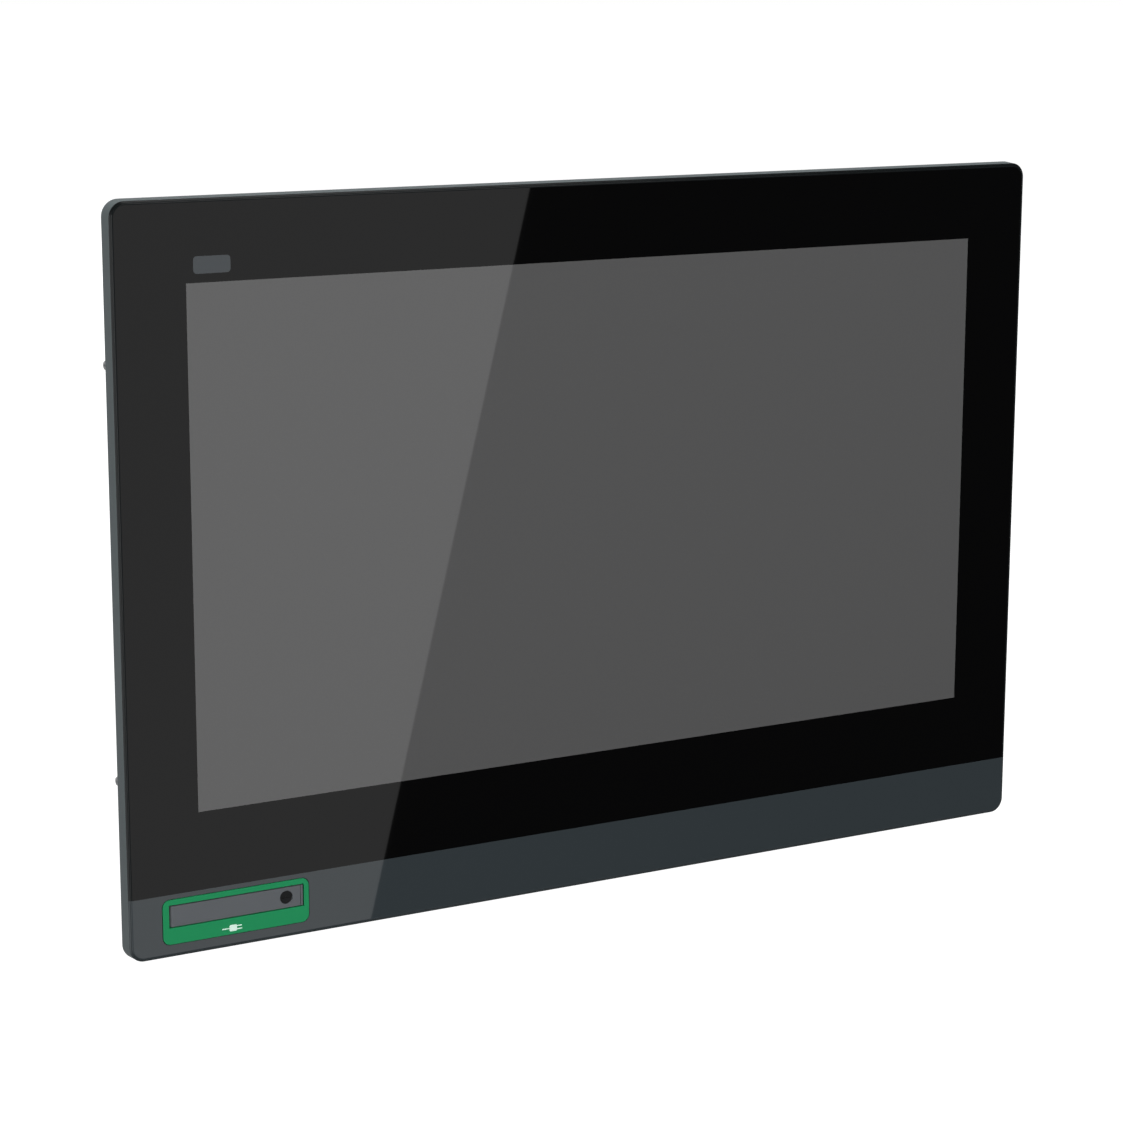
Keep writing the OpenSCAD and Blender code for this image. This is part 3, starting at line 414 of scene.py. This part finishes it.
# USB sockets and their lead: tinned shells round black tongues, and a grey ribbon lead.
tinned = grained("tinned_shell", (0.56, 0.57, 0.58), 0.24, 1.0, size=0.5, depth=0.008, tone=0.07)
dress(tinned, "port_shells", "backup_battery", "card_socket")
black_nylon = grained("black_nylon", (0.012, 0.012, 0.0125), 0.5, size=0.3, depth=0.012, tone=0.2)
dress(black_nylon, "port_tongues", "battery_holder", "board_chips", "serial_insulator")
ribbon = grained("grey_ribbon", (0.55, 0.56, 0.57), 0.5, size=0.5, depth=0.01, tone=0.05)
# Each core is painted lighter along its middle and darker at the grooves between cores: painted shade of
# round cores.
core_pitch = 1.27 * MM
across = ribbon.x.wrapped(core_pitch) * (2 / core_pitch)
ribbon.set({"Base Color": ribbon.mix((0.4, 0.41, 0.42), (0.6, 0.61, 0.62), across)})
dress(ribbon, "usb_lead", "display_ribbon")

# The rear chassis, box tray and lid: folded from zinc-plated sheet. The plating has a soft
# spangle of flat grains a few millimetres across, and rolling marks along the sheet.
zinc_dark, zinc_light, spangle = (0.47, 0.485, 0.495), (0.66, 0.675, 0.685), 3.2 * MM
sheet = Finish("zinc_spangle_sheet", (0.57, 0.58, 0.59), 0.38, 0.8)
cells = sheet.node("ShaderNodeTexVoronoi", {"feature": "F1"}, Vector=sheet.place,
                   Scale=1 / spangle, out="Color")
grey = sheet.node("ShaderNodeSeparateColor", {}, cells, out="Red")
rolling = sheet.noise(0.7, (0.03, 1, 1))
sheet.set({"Base Color": sheet.mix(zinc_dark, zinc_light, grey * 0.6 + rolling * 0.4),
           "Roughness": 0.33 + grey * 0.09 + rolling * 0.05})
sheet.bump(rolling, 0.01)
eased("rear_chassis", "rear_chassis_folded", 0.3, sheet, "panel", "chassis_sheet")
eased("box_tray", "box_tray_folded", 0.25, sheet, "panel", "chassis_sheet")
eased("box_lid", "box_lid_folded", 0.25, sheet, "panel", "chassis_sheet")

# Heat path: soft silicone pad and an extruded finned sink with drawing lines along it.
pad = grained("grey_silicone_pad", (0.42, 0.38, 0.43), 0.8, size=0.6, depth=0.02, tone=0.1)
dress(pad, "thermal_pad")
extruded = grained("extruded_aluminium", (0.58, 0.59, 0.6), 0.34, 1.0, size=0.5,
                   along=(1, 1, 0.04), depth=0.012)
dress(extruded, "heat_sink")

# The ports in the bottom wall: green terminal header with its screw plug, tinned network
# and USB shells, serial connector, and two green light pipes.
terminal = grained("green_terminal_nylon", (0.018, 0.15, 0.055), 0.45, size=0.35, depth=0.015,
                   tone=0.1)
dress(terminal, "power_header")
eased("power_plug", "supply_screw_plug", 0.2, terminal, "panel", "terminal_plastic")
eased("ethernet_sockets", "network_sockets_shielded", 0.15, tinned, "panel", "socket_steel")
eased("rear_usb_sockets", "rear_port_shells", 0.08, tinned, "panel", "socket_steel")
eased("serial_socket", "serial_shell_plated", 0.12, tinned, "panel", "socket_steel")
lens = grained("green_light_pipe", (0.14, 0.58, 0.2), 0.2, size=0.8, depth=0.004, tone=0.1)
dress(lens, "status_lamps")

# Three slotted clamp screws stand in the bores of the supply plug, turned from plated steel.
# The slot is pressed in, and the rim of each head is chamfered.
plug_lo, plug_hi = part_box("power_plug")
clamp_r, clamp_h, clamp_pitch = 1.55 * MM, 1.4 * MM, 5.08 * MM
clamp_sunk, clamp_up = 2.2 * MM, 6.5 * MM
clamp_at = Vector(((plug_lo.x + plug_hi.x) / 2, plug_hi.y - clamp_sunk, plug_lo.z + clamp_up))
clamp_chamfer, slot_depth, slot_w = 0.15 * MM, 1.1 * MM, 0.5 * MM


def pick(piece, kind, test):
    """Enters edit mode with only those edges or faces selected that pass the test."""
    bpy.ops.object.mode_set(mode="EDIT")
    bpy.ops.mesh.select_mode(type=kind)
    bpy.ops.mesh.select_all(action="DESELECT")
    bpy.ops.object.mode_set(mode="OBJECT")
    for item in piece.data.edges if kind == "EDGE" else piece.data.polygons:
        item.select = bool(test(item))
    bpy.ops.object.mode_set(mode="EDIT")


def placed(piece, name, finish):
    """Ends a modelled piece: its place goes into its mesh, and it gets its name and material."""
    bpy.ops.object.mode_set(mode="OBJECT")
    bpy.ops.object.transform_apply(location=True, rotation=True, scale=True)
    piece.name = name
    piece.data.materials.append(finish.material)
    return piece


bpy.ops.object.select_all(action="DESELECT")
bpy.ops.mesh.primitive_cylinder_add(vertices=32, radius=clamp_r, depth=clamp_h, location=clamp_at,
                                    rotation=(math.radians(-90), 0, 0))
head = bpy.context.object
pick(head, "FACE", lambda f: f.normal.z > 0.9)
bpy.ops.mesh.bevel(offset=clamp_chamfer, segments=2, affect="EDGES")
head = placed(head, "plug_clamp_screw_0", screw_zinc)
bpy.ops.object.select_all(action="DESELECT")
bpy.ops.mesh.primitive_cube_add(size=1, location=clamp_at + Vector((0, clamp_h / 2, 0)))
slot_cutter = bpy.context.object
slot_cutter.dimensions = (2.4 * clamp_r, slot_depth, slot_w)
bpy.ops.object.transform_apply(location=True, rotation=True, scale=True)
active(head)
slotting = head.modifiers.new("slotting", "BOOLEAN")
slotting.operation, slotting.object, slotting.solver = "DIFFERENCE", slot_cutter, "EXACT"
bpy.ops.object.modifier_apply(modifier="slotting")
bpy.data.objects.remove(slot_cutter)
bpy.ops.object.shade_smooth_by_angle(angle=SMOOTH_UP_TO)
for i, step in enumerate((0, -1, 1)):
    screw = head
    if i:
        screw = bpy.data.objects.new(f"plug_clamp_screw_{i}", head.data.copy())
        bpy.context.scene.collection.objects.link(screw)
        screw.data.transform(Matrix.Translation((step * clamp_pitch, 0, 0)))
    settle(screw, "panel", "screw_steel")

# A blank rating plate: thin brushed aluminium foil with a raised rim, stuck on the lid. It
# carries no print.
lid_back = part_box("box_lid")[1].y
plate_size, plate_t, plate_mid = (70 * MM, 20 * MM), 0.25 * MM, (-72 * MM, 37 * MM)
plate_corner, rim_w, rim_h = 2 * MM, 0.8 * MM, 0.1 * MM
foil = grained("brushed_foil", (0.86, 0.87, 0.88), 0.22, 1.0, size=0.4, along=(0.05, 1, 1),
               depth=0.004, tone=0.06)
bpy.ops.object.select_all(action="DESELECT")
plate_at = (plate_mid[0], lid_back + plate_t / 2, plate_mid[1])
bpy.ops.mesh.primitive_cube_add(size=1, location=plate_at)
rating_plate = bpy.context.object
rating_plate.dimensions = (plate_size[0], plate_t, plate_size[1])
bpy.ops.object.transform_apply(location=True, rotation=True, scale=True)
points = rating_plate.data.vertices


def runs_through(edge):
    """True for the four edges that join the plate's front to its back."""
    first, last = (points[v].co.y for v in edge.vertices)
    return abs(first - last) > plate_t / 2


pick(rating_plate, "EDGE", runs_through)
bpy.ops.mesh.bevel(offset=plate_corner, segments=6, affect="EDGES")
pick(rating_plate, "FACE", lambda f: f.normal.y > 0.99)
bpy.ops.mesh.inset(thickness=rim_w)
bpy.ops.mesh.inset(thickness=rim_h, depth=-rim_h)
placed(rating_plate, "blank_rating_plate", foil)
settle(rating_plate, "panel", "bare_aluminium")

# The card slot: black frame and hinged door on the right wall, and the red reset plunger.
eased("card_frame", "card_slot_frame", 0.2, black_nylon, "panel", "black_plastic")
eased("card_door", "card_slot_flap", 0.15, black_nylon, "card_door", "black_plastic")
red = grained("red_plunger", (0.34, 0.028, 0.02), 0.4, size=0.4, depth=0.01, tone=0.12)
eased("reset_button", "reset_plunger", 0.15, red, "reset_button", "red_plastic")

# The studio: a pale floor that fades into a white sweep, soft lamps overhead and at the
# sides, and three cards: one with a slanted edge that the glass mirrors, two for the edges.
sweep_r, floor_gap = 25, 0.5 * MM
floor_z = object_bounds()[0].z - floor_gap
pale = Finish("pale_floor", (0.2, 0.2, 0.2), 0.9, Emission_Strength=0.985,
              Emission_Color=(1, 1, 1), Specular_IOR_Level=0.0)
bpy.ops.object.select_all(action="DESELECT")
bpy.ops.mesh.primitive_circle_add(vertices=96, radius=sweep_r, fill_type="NGON",
                                  location=(0, 0, floor_z))
floor = bpy.context.object
floor.name = "studio_floor"
bpy.ops.object.select_all(action="DESELECT")
bpy.ops.mesh.primitive_uv_sphere_add(segments=64, ring_count=32, radius=sweep_r)
backdrop = bpy.context.object
backdrop.name = "studio_backdrop"
for pale_piece in (floor, backdrop):
    pale_piece.data.materials.append(pale.material)
    pale_piece.visible_glossy = pale_piece.visible_diffuse = False
    pale_piece.visible_transmission = False
backdrop.visible_shadow = False

camera_at = Vector((-795.48, -1348.37, 311.84)) * MM


def mirrored_card(name, glow, corners):
    """A bright card beside the camera, seen only in mirroring faces. Corners in X and Z, mm."""
    bpy.ops.object.select_all(action="DESELECT")
    bpy.ops.mesh.primitive_plane_add(size=1)
    card = bpy.context.object
    card.name = name
    for vertex, (x, z) in zip(card.data.vertices, corners):
        vertex.co = (x * MM, camera_at.y, z * MM + window_up)
    shine = Finish(name + "_glow", (0, 0, 0), 1, Emission_Strength=glow, Emission_Color=(1, 1, 1))
    card.data.materials.append(shine.material)
    card.visible_camera = card.visible_diffuse = False
    card.visible_shadow = card.visible_transmission = False


mirrored_card("glare_card", 1.0, [(200, -711), (511, -711), (200, 57), (705, 57)])
mirrored_card("left_edge_card", 0.8,
              [(-1500, -1300), (-700, -1300), (-1500, 400), (-700, 400)])
mirrored_card("top_edge_card", 1.2, [(200, 1000), (1100, 1000), (200, 2100), (1100, 2100)])


def lamp(name, at, size, power):
    """A round soft lamp, in metres and watts, that looks at the middle of the panel."""
    data = bpy.data.lights.new(name, "AREA")
    data.shape, data.size, data.energy = "DISK", size, power
    light = bpy.data.objects.new(name, data)
    bpy.context.scene.collection.objects.link(light)
    light.location = at
    light.rotation_euler = (-Vector(at)).to_track_quat("-Z", "Y").to_euler()
    light.visible_glossy = False
    return light


lamp("top_lamp", (-0.3, -0.3, 2.4), 1.6, 23)
lamp("front_lamp", (0, -4.2, 1.4), 2.5, 215)
lamp("left_lamp", (-2.4, -0.4, 0.1), 1.4, 30).visible_glossy = True
lamp("back_lamp", (0.5, 3.4, 1.6), 2.4, 105)
lamp("right_lamp", (2.4, 0.8, 0.6), 1.6, 22)

# Behind the panel the room is bright and mirrored in the plated sheet; in front it is
# flagged off, so that only the cards show in the glass.
world = bpy.data.worlds.new("dim_studio")
bpy.context.scene.world = world
world.use_nodes = True
room = world.node_tree
background = room.nodes["Background"]
background.inputs["Color"].default_value = (1, 1, 1, 1)
direction = room.nodes.new("ShaderNodeTexCoord")
split = room.nodes.new("ShaderNodeSeparateXYZ")
fade = room.nodes.new("ShaderNodeMapRange")
dim, bright = 0.025, 0.5
for name, value in (("From Min", 0.0), ("From Max", 0.6), ("To Min", dim), ("To Max", bright)):
    fade.inputs[name].default_value = value
room.links.new(direction.outputs["Generated"], split.inputs[0])
room.links.new(split.outputs["Y"], fade.inputs["Value"])
room.links.new(fade.outputs["Result"], background.inputs["Strength"])
bpy.context.scene.view_settings.view_transform = "Standard"

# The camera stands to the left of the panel and a little above it, and looks slightly down
# at it.
cam_data = bpy.data.cameras.new("camera")
cam_data.sensor_width, cam_data.lens = 36, 94.79
cam_data.clip_end = 1000
camera = bpy.data.objects.new("camera", cam_data)
bpy.context.scene.collection.objects.link(camera)
azimuth, elevation, roll = math.radians(-29.879), math.radians(11.756), math.radians(0.139)
level = math.cos(elevation)
back = Vector((math.sin(azimuth) * level, -math.cos(azimuth) * level, math.sin(elevation)))
aim = (-back).to_track_quat("-Z", "Y").to_matrix().to_4x4()
camera.matrix_world = Matrix.Translation(camera_at) @ aim @ Matrix.Rotation(roll, 4, "Z")
bpy.context.scene.camera = camera
